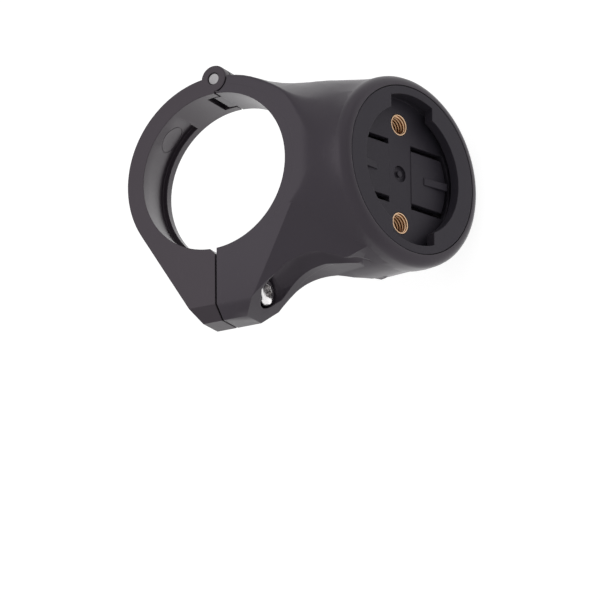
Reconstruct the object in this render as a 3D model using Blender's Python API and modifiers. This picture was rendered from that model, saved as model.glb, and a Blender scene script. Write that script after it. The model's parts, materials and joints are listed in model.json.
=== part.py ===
"""Seatpost light mount: a hinged clamp ring with a round quarter-turn socket on a short neck.

Run with: blender --background --python part.py

Axes: the seatpost runs along Z through the origin, which lies at mid height of the clamp ring.
The socket is on the +X side and the ring's hinge on the +Y side. Lengths are in metres.
"""

import math

import bmesh
import bpy
from mathutils import Matrix, Vector

MM = 0.001

# Clamp ring
BORE_RADIUS = 16.5 * MM
RING_WALL = 3.65 * MM
RING_HEIGHT = 11.0 * MM
SPLIT_X = 0.4 * MM
SPLIT_GAP = 0.4 * MM
EDGE_ROUND = 0.35 * MM

# Hinge
PIN_RADIUS = 1.22 * MM
PIN_INSET = 0.2 * MM
PIN_EDGE = 0.15 * MM
PIN_Y = 19.75 * MM
KNUCKLE_RADIUS = 2.85 * MM
EAR_HEIGHT = 2.1 * MM
RUNNING_GAP = 0.3 * MM
RECESS_REACH = 2.5 * MM
WEB_REACH = 1.2 * MM
WEB_STEP = 0.05 * MM

# Lug and clamp screw
LUG_END_Y = -31.0 * MM
LUG_BEVEL = 2.7 * MM
FLANK_TOUCH = math.radians(212.5)
BODY_LUG_WIDTH = 5.6 * MM
BODY_FLANK_ANGLE = math.radians(46.5)
BODY_FLANK_RISE = 5.85 * MM
BODY_FLANK_ROUND = 15.5 * MM
BODY_SIDE_ANGLE = math.radians(8.0)
BODY_SIDE_TURN_X = 25.0 * MM
BODY_SIDE_END = (29.5 * MM, -17.0 * MM)
FACET_POINT = (13.9 * MM, -18.2 * MM)
FACET_TURN = math.radians(-26.2)
FACET_SLOPE = math.radians(43.0)
SPLIT_CHAMFER = 1.1 * MM
SCREW_Y = -25.6 * MM
SCREW_RADIUS = 1.25 * MM
SCREW_LENGTH = 12.0 * MM
HEAD_RADIUS = 2.75 * MM
HEAD_HEIGHT = 3.0 * MM
HEX_KEY = 2.5 * MM
HEX_DEPTH = 1.7 * MM
SEAT_X = 6.3 * MM
SHANK_HOLE_RADIUS = 1.7 * MM
ARM_HOLE_RADIUS = 1.9 * MM
NUT_ACROSS_FLATS = 5.5 * MM
NUT_HEIGHT = 2.4 * MM
NUT_BORE_RADIUS = 1.5 * MM
FIT = 0.3 * MM
SNUG = 0.08 * MM
SHANK_TIP = 0.4 * MM
HEAD_EDGE = 0.35 * MM

# Scoop that lets the hex key reach the screw
# Each station holds: distance beyond the screw head, inner edge's Y, middle's Z, half depth, half height
POCKET_RADIUS = 3.3 * MM
SCOOP_STATIONS = (
    (-0.1, -22.4, 0.0, 3.2, 3.2),
    (0.9, -22.0, 0.2, 4.0, 4.0),
    (3.7, -20.2, 0.1, 5.5, 4.0),
    (5.7, -19.0, 0.0, 6.5, 3.9),
    (8.0, -18.4, -0.6, 7.0, 3.6),
    (10.9, -18.2, -1.6, 7.0, 3.5),
    (14.5, -18.9, -5.3, 7.0, 4.3),
    (16.3, -18.9, -7.8, 7.0, 3.8),
    (17.7, -19.2, -10.0, 7.0, 2.8),
    (18.7, -20.2, -11.2, 7.0, 1.4),
)

# Socket head
HEAD_X = 34.5 * MM
HEAD_Z = -14.7 * MM
HEAD_TILT = math.radians(14.7)
RIM_WIDTH = 2.3 * MM
RIM_ROUND = 2.2 * MM
FLANGE_THICKNESS = 2.2 * MM
HEAD_BACK_DEPTH = 11.0 * MM
HEAD_BACK_ROUND = 7.0 * MM

# Neck
NECK_START_X = 3.4 * MM
NECK_START_HALF_WIDTH = 20.3 * MM
NECK_BULGE = 1.3 * MM
NECK_TOP_STEP = 0.02 * MM
NECK_AXIS_Z = -13.0 * MM
NECK_SIDE_STEP = 0.15 * MM
PLATEAU_START = 19.95 * MM
PLATEAU_END = 8.3 * MM
SKIRT_INSET = 0.03 * MM
SKIRT_START = 1.0 * MM
SKIRT_DEPTH = 20.0 * MM
ARCH_START_X = 8.0 * MM
ARCH_REACH = 18.5 * MM
ARCH_DROP = 29.0 * MM
NECK_RINGS = 18

# Quarter-turn socket plate
PLATE_RADIUS = 17.55 * MM
PLATE_THICKNESS = 5.0 * MM
PLATE_EDGE = 0.15 * MM
PLATE_FIT = 0.1 * MM
SHELF_WIDTH = 2.8 * MM
SPRING_ROOM = 1.2 * MM
UNDERCUT_WALL = 1.55 * MM
LEDGE_REACH = 2.6 * MM
LEDGE_THICKNESS = 2.1 * MM
SOCKET_DEPTH = 3.6 * MM
NOTCH_STEP = 0.2 * MM
NOTCH_HALF_WIDTH = 6.0 * MM
TONGUE_ROOT = 3.2 * MM
SLOT_WALL = 1.45 * MM
TONGUE_BACKSET = 0.3 * MM
TONGUE_SLOT = 1.2 * MM
TONGUE_RISE = 0.15 * MM
PAD_MARGIN = 0.05 * MM
DETENT_START = 6.8 * MM
DETENT_HALF_WIDTH = 1.0 * MM
DETENT_RISE = 0.85 * MM
DETENT_TOP_SHARE = 0.75
DIMPLE_RADIUS = 1.7 * MM
DIMPLE_DEPTH = 0.6 * MM
STUB_RADIUS = 0.65 * MM

# Threaded inserts
INSERT_INSET = 2.9 * MM
INSERT_RADIUS = 2.25 * MM
INSERT_BORE_RADIUS = 1.3 * MM
INSERT_LENGTH = 4.6 * MM
INSERT_EDGE = 0.2 * MM
BOSS_RADIUS = 3.7 * MM
BOSS_TIP = 0.3 * MM

# Relief inside the clamp halves
RELIEF_DEPTH = 1.6 * MM
RELIEF_LIP = 2.3 * MM
RELIEF_START = math.radians(128.0)
RELIEF_TOP_LIP = 3.1 * MM
RELIEF_END = math.radians(232.0)

# Values that follow from the sizes above
RING_RADIUS = BORE_RADIUS + RING_WALL
HALF_HEIGHT = RING_HEIGHT / 2
SCREW_TIP_X = SEAT_X - SCREW_LENGTH
SEAT_RADIUS = PLATE_RADIUS + PLATE_FIT
RIM_RADIUS = SEAT_RADIUS + RIM_WIDTH
SPRING_ROOM_RADIUS = SEAT_RADIUS - SHELF_WIDTH
UNDERCUT_RADIUS = PLATE_RADIUS - UNDERCUT_WALL
SOCKET_RADIUS = UNDERCUT_RADIUS - LEDGE_REACH
NOTCH_RADIUS = UNDERCUT_RADIUS - NOTCH_STEP
TONGUE_REACH = SOCKET_RADIUS - TONGUE_BACKSET
INSERT_SPACING = 2 * (SOCKET_RADIUS - INSERT_INSET)
TONGUE_HALF_WIDTH = INSERT_SPACING / 2 - INSERT_RADIUS - SLOT_WALL - TONGUE_SLOT
BOSS_DEPTH = SOCKET_DEPTH + INSERT_LENGTH + BOSS_TIP
TALL = 120.0 * MM
ABOVE = 5.0 * MM
SEGMENTS = 96
DISC_SIDES = 48
INSERT_SIDES = 40
HOLE_SIDES = 32
HEX_SIDES = 6
SCOOP_SIDES = 36
RING_STEPS = 72
FLANK_STEPS = 12
ARCH_STEPS = 20
RIM_STEPS = 5
HEAD_BACK_STEPS = 8
RELIEF_STEPS = 30
NOTCH_STEPS = 16
TONGUE_STEPS = 24
WELD_DISTANCE = 1e-7
SHARP_ANGLE = math.radians(30)
BEVEL_ANGLE = math.radians(40)
SIDE_STEPS = 5
CORNER_STEPS = 6
LOWER_STEPS = 18
HEAD_CENTRE = Vector((HEAD_X, 0, HEAD_Z))
HEAD_NORMAL = Vector((math.cos(HEAD_TILT), 0, math.sin(HEAD_TILT)))
HEAD_UP = Vector((-math.sin(HEAD_TILT), 0, math.cos(HEAD_TILT)))


def clear_scene():
    """Remove every object of the scene that the file opened with."""
    for obj in list(bpy.data.objects):
        bpy.data.objects.remove(obj, do_unlink=True)


def make_collection(name):
    """Return a new collection linked to the scene."""
    collection = bpy.data.collections.new(name)
    bpy.context.scene.collection.children.link(collection)
    return collection


def make_material(name, colour, roughness, metallic=0.0):
    """Return a Principled material."""
    material = bpy.data.materials.new(name)
    material.use_nodes = True
    shader = material.node_tree.nodes["Principled BSDF"]
    shader.inputs["Base Color"].default_value = (*colour, 1.0)
    shader.inputs["Roughness"].default_value = roughness
    shader.inputs["Metallic"].default_value = metallic
    return material


def object_from_bmesh(name, shape, collection):
    """Turn a bmesh into an object with outward faces."""
    bmesh.ops.recalc_face_normals(shape, faces=shape.faces)
    mesh = bpy.data.meshes.new(name)
    shape.to_mesh(mesh)
    shape.free()
    obj = bpy.data.objects.new(name, mesh)
    collection.objects.link(obj)
    return obj


def as_helper(obj):
    """Show an object as a wire and keep it out of renders."""
    obj.hide_render = True
    obj.display_type = "WIRE"
    return obj


def cylinder(name, collection, radius, length, place, sides=SEGMENTS, top_radius=None):
    """Add a cylinder or cone whose middle and direction come from the matrix place."""
    shape = bmesh.new()
    bmesh.ops.create_cone(
        shape,
        cap_ends=True,
        segments=sides,
        radius1=radius,
        radius2=radius if top_radius is None else top_radius,
        depth=length,
        matrix=place,
    )
    return object_from_bmesh(name, shape, collection)


def box(name, collection, low, high, place=None):
    """Add a box between two corners."""
    low, high = Vector(low), Vector(high)
    shape = bmesh.new()
    bmesh.ops.create_cube(shape, size=1.0)
    bmesh.ops.scale(shape, vec=high - low, verts=shape.verts)
    bmesh.ops.translate(shape, vec=(low + high) / 2, verts=shape.verts)
    if place is not None:
        bmesh.ops.transform(shape, matrix=place, verts=shape.verts)
    return object_from_bmesh(name, shape, collection)


def prism(name, collection, outline, low, high, place=None):
    """Add a plate with the given outline between two heights, from a filled 2D curve."""
    curve = bpy.data.curves.new(name, "CURVE")
    curve.dimensions = "2D"
    curve.fill_mode = "BOTH"
    curve.extrude = (high - low) / 2
    spline = curve.splines.new("POLY")
    spline.points.add(len(outline) - 1)
    for point, (x, y) in zip(spline.points, outline):
        point.co = (x, y, 0, 1)
    spline.use_cyclic_u = True
    guide = bpy.data.objects.new(name + "_curve", curve)
    collection.objects.link(guide)
    mesh = bpy.data.meshes.new_from_object(guide.evaluated_get(bpy.context.evaluated_depsgraph_get()))
    bpy.data.objects.remove(guide)
    shape = bmesh.new()
    shape.from_mesh(mesh)
    bpy.data.meshes.remove(mesh)
    bmesh.ops.remove_doubles(shape, verts=shape.verts, dist=WELD_DISTANCE)
    bmesh.ops.translate(shape, vec=(0, 0, (low + high) / 2), verts=shape.verts)
    if place is not None:
        bmesh.ops.transform(shape, matrix=place, verts=shape.verts)
    return object_from_bmesh(name, shape, collection)


def turned(name, collection, profile, place, steps=SEGMENTS):
    """Add a solid turned from (radius, height) points about the Z axis of the matrix place."""
    mesh = bpy.data.meshes.new(name)
    points = [(radius, 0, height) for radius, height in profile]
    mesh.from_pydata(points, [(i, i + 1) for i in range(len(points) - 1)], [])
    guide = bpy.data.objects.new(name + "_profile", mesh)
    collection.objects.link(guide)
    screw = guide.modifiers.new("turn", "SCREW")
    screw.steps = steps
    screw.render_steps = steps
    screw.use_merge_vertices = True
    screw.merge_threshold = WELD_DISTANCE
    bpy.context.view_layer.update()
    made = bpy.data.meshes.new_from_object(guide.evaluated_get(bpy.context.evaluated_depsgraph_get()))
    bpy.data.objects.remove(guide)
    shape = bmesh.new()
    shape.from_mesh(made)
    bpy.data.meshes.remove(made)
    bmesh.ops.remove_doubles(shape, verts=shape.verts, dist=WELD_DISTANCE)
    bmesh.ops.transform(shape, matrix=place, verts=shape.verts)
    return object_from_bmesh(name, shape, collection)


def boolean(target, other, operation):
    """Join another solid to the target, or cut it away."""
    modifier = target.modifiers.new(f"{operation.lower()} {other.name}", "BOOLEAN")
    modifier.operation = operation
    modifier.object = other
    modifier.solver = "EXACT"
    return modifier


def cut(target, *others):
    for other in others:
        boolean(target, other, "DIFFERENCE")


def join(target, *others):
    for other in others:
        boolean(target, other, "UNION")


def round_edges(target, width, segments=2):
    """Round the sharp edges that the target has so far."""
    modifier = target.modifiers.new("round edges", "BEVEL")
    modifier.width = width
    modifier.segments = segments
    modifier.limit_method = "ANGLE"
    modifier.angle_limit = BEVEL_ANGLE


def smooth(obj):
    obj.data.shade_smooth()
    obj.data.set_sharp_from_angle(angle=SHARP_ANGLE)


def arc(centre, radius, start, end, count):
    """Return points along an arc, both ends included."""
    return [
        (
            centre[0] + radius * math.cos(start + (end - start) * i / count),
            centre[1] + radius * math.sin(start + (end - start) * i / count),
        )
        for i in range(count + 1)
    ]


def head_place(depth=0.0, up=0.0, side=0.0):
    """Return the matrix whose Z axis leaves the socket's face and whose X axis points up it."""
    across = HEAD_NORMAL.cross(HEAD_UP)
    turn = Matrix((HEAD_UP, across, HEAD_NORMAL)).transposed().to_4x4()
    place = HEAD_CENTRE + HEAD_NORMAL * depth + HEAD_UP * up + across * side
    return Matrix.Translation(place) @ turn


def along_x(x, y, z=0.0):
    """Return a matrix that turns a solid's own Z axis to +X."""
    return Matrix.Translation((x, y, z)) @ Matrix.Rotation(math.pi / 2, 4, "Y")


def upright(x, y, z=0.0):
    return Matrix.Translation((x, y, z))


def ring_outline():
    """Outline of the whole clamp seen from above: the round ring and the lugs at -Y."""
    touch = (RING_RADIUS * math.cos(FLANK_TOUCH), RING_RADIUS * math.sin(FLANK_TOUCH))
    slope = math.tan(FLANK_TOUCH - math.pi / 2)
    arm_end_x = touch[0] + (LUG_END_Y - touch[1]) / slope
    round_part = arc((0, 0), RING_RADIUS, -math.pi / 6, FLANK_TOUCH, RING_STEPS)
    inner = (BODY_SIDE_END[0], -RING_RADIUS / 2)
    return [(arm_end_x, LUG_END_Y), *flank_outline(), inner, *round_part]


def flank_outline():
    """Points along the body's side, from the lug's corner to the neck."""
    start, end = BODY_FLANK_ANGLE, BODY_SIDE_ANGLE
    lug_right = SPLIT_X + BODY_LUG_WIDTH
    top_x = lug_right + BODY_FLANK_RISE / math.tan(start)
    top_y = LUG_END_Y + BODY_FLANK_RISE
    centre = (top_x + BODY_FLANK_ROUND * math.sin(start), top_y - BODY_FLANK_ROUND * math.cos(start))
    flank = arc(centre, BODY_FLANK_ROUND, math.pi / 2 + start, math.pi / 2 + end, FLANK_STEPS)
    turn_y = flank[-1][1] + (BODY_SIDE_TURN_X - flank[-1][0]) * math.tan(end)
    return [(lug_right, LUG_END_Y), *flank, (BODY_SIDE_TURN_X, turn_y), BODY_SIDE_END]


def clamp_blank(name, collection, helpers, keep_low, keep_high):
    """One half of the clamp: ring and lug with the bore, cut at the split, edges rounded."""
    blank = prism(name, collection, ring_outline(), -HALF_HEIGHT, HALF_HEIGHT)
    cut(blank, *(bevel_wedge(name, helpers, side) for side in (1, -1)))
    cut(blank, as_helper(cylinder(name + "_bore", helpers, BORE_RADIUS, TALL, upright(0, 0))))
    cut(blank, as_helper(box(name + "_other_half", helpers, keep_low, keep_high)))
    round_edges(blank, EDGE_ROUND)
    return blank


def bevel_wedge(name, helpers, side):
    """The sloping cut at the top or bottom of the lug's end."""
    reach = 2 * LUG_BEVEL
    profile = [
        (LUG_END_Y - reach, side * (HALF_HEIGHT - LUG_BEVEL - reach)),
        (LUG_END_Y - reach, side * (HALF_HEIGHT + reach)),
        (LUG_END_Y + LUG_BEVEL + reach, side * (HALF_HEIGHT + reach)),
    ]
    shape = bmesh.new()
    ends = []
    for x in (-TALL / 2, TALL / 2):
        ends.append([shape.verts.new((x, y, z)) for y, z in profile])
    shape.faces.new(ends[0])
    shape.faces.new(ends[1])
    for i in range(3):
        j = (i + 1) % 3
        shape.faces.new((ends[0][i], ends[0][j], ends[1][j], ends[1][i]))
    label = "upper" if side > 0 else "lower"
    return as_helper(object_from_bmesh(f"{name}_{label}_bevel", shape, helpers))


def ramp(t, start, end):
    """Return a smooth rise from 0 at start to 1 at end."""
    share = min(1.0, max(0.0, (t - start) / (end - start)))
    return share * share * (3 - 2 * share)


def section_quarter(width, rise, plateau, softness):
    """Points of an upper quarter of the neck's section, from its side to the middle of its flat top.

    The side is part of an ellipse, a straight slope touches it and runs up to the flat top,
    and the corner between slope and top is rounded over the share softness of both.
    """
    share = plateau / width
    touch = math.atan2(1.0, share) - math.acos(1 / math.hypot(share, 1.0))
    side = [
        Vector((width * math.cos(touch * i / SIDE_STEPS), rise * math.sin(touch * i / SIDE_STEPS)))
        for i in range(SIDE_STEPS + 1)
    ]
    corner, middle = Vector((plateau, rise)), Vector((0, rise))
    start, end = corner.lerp(side[-1], softness), corner.lerp(middle, softness)
    slope = [side[-1].lerp(start, 0.5)]
    rounding = []
    for i in range(CORNER_STEPS + 1):
        s = i / CORNER_STEPS
        rounding.append(start * (1 - s) ** 2 + corner * 2 * s * (1 - s) + end * s**2)
    return [*side, *slope, *rounding, end.lerp(middle, 0.5), middle]


def neck_section(t):
    """Points of the neck's section at a share t of the way from the ring to the head."""
    head_end = HEAD_CENTRE - HEAD_NORMAL * FLANGE_THICKNESS
    tilt = HEAD_TILT * ramp(t, 0.35, 1.0)
    end_radius = RIM_RADIUS - NECK_SIDE_STEP
    widest = RIM_RADIUS + NECK_BULGE
    width = NECK_START_HALF_WIDTH + (widest - NECK_START_HALF_WIDTH) * ramp(t, 0.0, 0.35)
    width += (end_radius - widest) * ramp(t, 0.35, 1.0)
    middle = NECK_AXIS_Z + (head_end.z - NECK_AXIS_Z) * ramp(t, 0.3, 1.0)
    start_top = HALF_HEIGHT + NECK_TOP_STEP
    end_top = head_end.z + end_radius * math.cos(HEAD_TILT)
    top = start_top + (end_top - start_top) * ramp(t, 0.68, 1.0)
    rise = (top - middle) / math.cos(tilt)
    softness = 0.03 + 0.92 * ramp(t, 0.42, 1.0)
    fall = PLATEAU_START - PLATEAU_END
    hinge_side = section_quarter(width, rise, PLATEAU_START - fall * ramp(t, -0.02, 0.93), softness)
    screw_side = section_quarter(width, rise, PLATEAU_START - fall * ramp(t, -0.2, 0.8), softness)
    lower = arc((0, 0), width, math.pi, 2 * math.pi, LOWER_STEPS)[1:-1]
    upper = [*hinge_side, *((-y, z) for y, z in reversed(screw_side[:-1]))]
    centre = Vector((NECK_START_X + (head_end.x - NECK_START_X) * t, 0, middle))
    up = Vector((-math.sin(tilt), 0, math.cos(tilt)))
    return [centre + Vector((0, y, 0)) + up * z for y, z in [*upper, *lower]]


def loft(name, collection, rows):
    """Add a solid through rings of points that all hold the same count."""
    shape = bmesh.new()
    rings = [[shape.verts.new(point) for point in row] for row in rows]
    for low, high in zip(rings, rings[1:]):
        for i in range(len(low)):
            j = (i + 1) % len(low)
            shape.faces.new((low[i], low[j], high[j], high[i]))
    shape.faces.new(rings[0])
    shape.faces.new(rings[-1])
    return object_from_bmesh(name, shape, collection)


def neck(helpers):
    """The neck: a barrel lofted from the ring to the head, with an arched underside."""
    rows = [neck_section(i / (NECK_RINGS - 1)) for i in range(NECK_RINGS)]
    barrel = as_helper(loft("neck_barrel", helpers, rows))
    inside = cylinder("neck_bore", helpers, BORE_RADIUS + RING_WALL / 2, TALL, upright(0, 0))
    join(barrel, skirt(helpers))
    cut(barrel, underside(helpers), as_helper(inside))
    return barrel


def skirt(helpers):
    """The body's side wall where it runs on below the ring, down to the arched underside."""
    lug_corner, *flank = flank_outline()
    start_x = ARCH_START_X + SKIRT_START
    start_y = lug_corner[1] + (start_x - lug_corner[0]) * math.tan(BODY_FLANK_ANGLE)
    inner_y = -RING_RADIUS / 2
    wall = [(x, y + SKIRT_INSET) for x, y in [(start_x, start_y), *flank]]
    outline = [*wall, (BODY_SIDE_END[0], inner_y), (start_x, inner_y)]
    made = as_helper(prism("skirt", helpers, outline, -SKIRT_DEPTH, HALF_HEIGHT - SKIRT_INSET))
    cut(made, facet("skirt_facet", helpers, SKIRT_INSET))
    return made


def underside(helpers):
    """The space below the ring and the neck, with an arched side profile, as a prism along Y."""
    level = -HALF_HEIGHT + NECK_TOP_STEP
    outline = [(-TALL / 2, level)]
    for i in range(ARCH_STEPS + 1):
        angle = math.pi / 2 * i / ARCH_STEPS
        x = ARCH_START_X + ARCH_REACH * math.sin(angle)
        z = level - ARCH_DROP * (1 - math.cos(angle))
        outline.append((x, z))
    outline += [(ARCH_START_X + ARCH_REACH, -TALL / 2), (-TALL / 2, -TALL / 2)]
    place = Matrix.Rotation(math.pi / 2, 4, "X")
    return as_helper(prism("underside", helpers, outline, -TALL / 4, TALL / 4, place))


def head_blank(helpers):
    """The round head that carries the socket plate, rounded at the back."""
    fillet = arc((RIM_RADIUS - RIM_ROUND, -RIM_ROUND), RIM_ROUND, math.pi / 2, 0, RIM_STEPS)
    back_centre = (RIM_RADIUS - HEAD_BACK_ROUND, -HEAD_BACK_DEPTH + HEAD_BACK_ROUND)
    back = arc(back_centre, HEAD_BACK_ROUND, 0, -math.pi / 2, HEAD_BACK_STEPS)
    profile = [(0, 0), *fillet, *back, (0, -HEAD_BACK_DEPTH)]
    return as_helper(turned("head_blank", helpers, profile, head_place()))


def ear_disc(name, helpers, radius, low, high):
    """A short upright cylinder about the hinge pin between two heights."""
    place = upright(0, PIN_Y, (low + high) / 2)
    return as_helper(cylinder(name, helpers, radius, high - low, place, sides=DISC_SIDES))


def scoop(helpers):
    """The hollow along the neck's side that lets a hex key reach the screw."""
    rows = []
    for ahead, inner_y, middle_z, depth, height in SCOOP_STATIONS:
        x = SEAT_X + HEAD_HEIGHT + ahead * MM
        row = []
        for i in range(SCOOP_SIDES):
            angle = 2 * math.pi * i / SCOOP_SIDES
            y = (inner_y - depth + depth * math.cos(angle)) * MM
            row.append((x, y, (middle_z + height * math.sin(angle)) * MM))
        rows.append(row)
    return as_helper(loft("scoop", helpers, rows))


def main_body(collection, helpers, material):
    """The moulded body: right half of the clamp, middle knuckle, neck and socket head."""
    low = (-TALL / 2, -TALL / 2, -TALL / 2)
    high = (SPLIT_X + SPLIT_GAP / 2, TALL / 2, TALL / 2)
    body = clamp_blank("main_body", collection, helpers, low, high)
    cut(body, facet("facet", helpers, 0.0))
    join(body, neck(helpers), head_blank(helpers))
    middle = HALF_HEIGHT - EAR_HEIGHT - RUNNING_GAP / 2
    cut(
        body,
        ear_disc("upper_ear_room", helpers, KNUCKLE_RADIUS + RUNNING_GAP, middle, TALL / 2),
        ear_disc("lower_ear_room", helpers, KNUCKLE_RADIUS + RUNNING_GAP, -TALL / 2, -middle),
    )
    knuckle_top = middle - RUNNING_GAP / 2
    web = box(
        "knuckle_web",
        helpers,
        (-WEB_REACH, BORE_RADIUS + WEB_STEP, -knuckle_top),
        (KNUCKLE_RADIUS + 2 * RUNNING_GAP, PIN_Y, knuckle_top),
    )
    knuckle = ear_disc("middle_knuckle", helpers, KNUCKLE_RADIUS, -knuckle_top, knuckle_top)
    join(knuckle, as_helper(web))
    join(body, knuckle)
    shank_place, pocket_place = along_x(SEAT_X, SCREW_Y), along_x(SEAT_X + TALL / 2, SCREW_Y)
    cut(
        body,
        pin_hole("pin_hole", helpers),
        as_helper(cylinder("shank_hole", helpers, SHANK_HOLE_RADIUS, 2 * SEAT_X, shank_place, HOLE_SIDES)),
        as_helper(cylinder("head_pocket", helpers, POCKET_RADIUS, TALL, pocket_place, DISC_SIDES)),
        scoop(helpers),
        *(boss_room(helpers, side) for side in (1, -1)),
        plate_seat(helpers),
    )
    body.data.materials.append(material)
    smooth(body)
    return body


def pin_hole(name, helpers):
    """The hole that takes the hinge pin through one half's knuckles."""
    return as_helper(cylinder(name, helpers, PIN_RADIUS + SNUG, TALL, upright(0, PIN_Y), HOLE_SIDES))


def facet(name, helpers, drop):
    """The slope that takes the lug's flat top down to the neck's side."""
    place = upright(*FACET_POINT, HALF_HEIGHT - drop) @ Matrix.Rotation(FACET_TURN, 4, "Z")
    place = place @ Matrix.Rotation(FACET_SLOPE, 4, "Y")
    return as_helper(box(name, helpers, (0, -TALL / 4, 0), (TALL / 4, TALL / 4, TALL / 4), place))


def plate_seat(helpers):
    """The stepped hollow that takes the socket plate and lets its tongues bend."""
    shelf = PLATE_THICKNESS + FIT
    bottom = shelf + SPRING_ROOM
    profile = [
        (0, ABOVE),
        (SEAT_RADIUS, ABOVE),
        (SEAT_RADIUS, -shelf),
        (SPRING_ROOM_RADIUS, -shelf),
        (SPRING_ROOM_RADIUS, -bottom),
        (0, -bottom),
    ]
    return as_helper(turned("plate_seat", helpers, profile, head_place()))


def boss_room(helpers, side):
    """The round hollow behind the plate for one insert's boss."""
    length = BOSS_DEPTH + FIT + ABOVE
    place = head_place(depth=ABOVE - length / 2, side=side * INSERT_SPACING / 2)
    return as_helper(cylinder(f"boss_room_{side}", helpers, BOSS_RADIUS + FIT, length, place, DISC_SIDES))


def clamp_arm(collection, helpers, material):
    """The hinged half of the clamp, with two ears about the pin and a pocket for the nut."""
    low = (SPLIT_X - SPLIT_GAP / 2, -TALL / 2, -TALL / 2)
    high = (TALL / 2, TALL / 2, TALL / 2)
    arm = clamp_blank("clamp_arm", collection, helpers, low, high)
    ear_low = HALF_HEIGHT - EAR_HEIGHT + RUNNING_GAP / 2
    ears = ear_disc("arm_ears", helpers, KNUCKLE_RADIUS, -HALF_HEIGHT, HALF_HEIGHT)
    round_edges(ears, EDGE_ROUND)
    join(arm, ears)
    room = box(
        "knuckle_room",
        helpers,
        (-RECESS_REACH, BORE_RADIUS / 2, -ear_low),
        (TALL / 2, TALL / 2, ear_low),
    )
    round_room = ear_disc("knuckle_round_room", helpers, KNUCKLE_RADIUS + RUNNING_GAP, -ear_low, ear_low)
    nut_x = SCREW_TIP_X + NUT_HEIGHT
    pocket_radius = (NUT_ACROSS_FLATS / 2 + FIT) / math.cos(math.pi / 6)
    nut_place = along_x(nut_x + FIT - TALL / 2, SCREW_Y)
    nut_pocket = cylinder("nut_pocket", helpers, pocket_radius, TALL, nut_place, HEX_SIDES)
    shank_hole = cylinder("arm_shank_hole", helpers, ARM_HOLE_RADIUS, TALL, along_x(0, SCREW_Y), HOLE_SIDES)
    cut(
        arm,
        as_helper(room),
        round_room,
        pin_hole("arm_pin_hole", helpers),
        as_helper(nut_pocket),
        as_helper(shank_hole),
        relief(helpers),
        split_chamfer(helpers),
    )
    arm.data.materials.append(material)
    smooth(arm)
    return arm


def relief(helpers):
    """The shallow hollow round the inside of the arm."""
    outer = arc((0, 0), BORE_RADIUS + RELIEF_DEPTH, RELIEF_START, RELIEF_END, RELIEF_STEPS)
    inner = arc((0, 0), BORE_RADIUS - RELIEF_DEPTH, RELIEF_END, RELIEF_START, RELIEF_STEPS)
    low, high = -HALF_HEIGHT + RELIEF_LIP, HALF_HEIGHT - RELIEF_TOP_LIP
    return as_helper(prism("arm_relief", helpers, outer + inner, low, high))


def split_chamfer(helpers):
    """The sloping cut on the arm's corner between the bore and the split."""
    x, y = SPLIT_X - SPLIT_GAP / 2, -BORE_RADIUS
    reach = SPLIT_CHAMFER
    outline = [
        (x - SPLIT_CHAMFER - reach, y + reach),
        (x + reach, y - SPLIT_CHAMFER - reach),
        (x + reach, y + reach),
    ]
    return as_helper(prism("split_chamfer", helpers, outline, -TALL / 2, TALL / 2))


def hinge_pin(collection, material):
    length = RING_HEIGHT - 2 * PIN_INSET
    pin = cylinder("hinge_pin", collection, PIN_RADIUS, length, upright(0, PIN_Y), HOLE_SIDES)
    round_edges(pin, PIN_EDGE)
    pin.data.materials.append(material)
    smooth(pin)
    return pin


def clamp_screw(collection, helpers, material):
    """The socket cap screw; its thread is left to the finish."""
    profile = [
        (0, HEAD_HEIGHT),
        (HEAD_RADIUS - HEAD_EDGE, HEAD_HEIGHT),
        (HEAD_RADIUS, HEAD_HEIGHT - HEAD_EDGE),
        (HEAD_RADIUS, FIT),
        (SCREW_RADIUS, FIT),
        (SCREW_RADIUS, -SCREW_LENGTH + SHANK_TIP),
        (SCREW_RADIUS - SHANK_TIP, -SCREW_LENGTH),
        (0, -SCREW_LENGTH),
    ]
    screw = turned("clamp_screw", collection, profile, along_x(SEAT_X, SCREW_Y), steps=DISC_SIDES)
    key_radius = HEX_KEY / 2 / math.cos(math.pi / 6)
    key_place = along_x(SEAT_X + HEAD_HEIGHT, SCREW_Y)
    key = cylinder("hex_recess", helpers, key_radius, 2 * HEX_DEPTH, key_place, HEX_SIDES)
    cut(screw, as_helper(key))
    screw.data.materials.append(material)
    smooth(screw)
    return screw


def clamp_nut(collection, helpers, material):
    """The captive hex nut in the arm's lug."""
    radius = NUT_ACROSS_FLATS / 2 / math.cos(math.pi / 6)
    place = along_x(SCREW_TIP_X + NUT_HEIGHT / 2, SCREW_Y)
    nut = cylinder("clamp_nut", collection, radius, NUT_HEIGHT, place, HEX_SIDES)
    cut(nut, as_helper(cylinder("nut_bore", helpers, NUT_BORE_RADIUS, TALL, place, HOLE_SIDES)))
    nut.data.materials.append(material)
    smooth(nut)
    return nut


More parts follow.
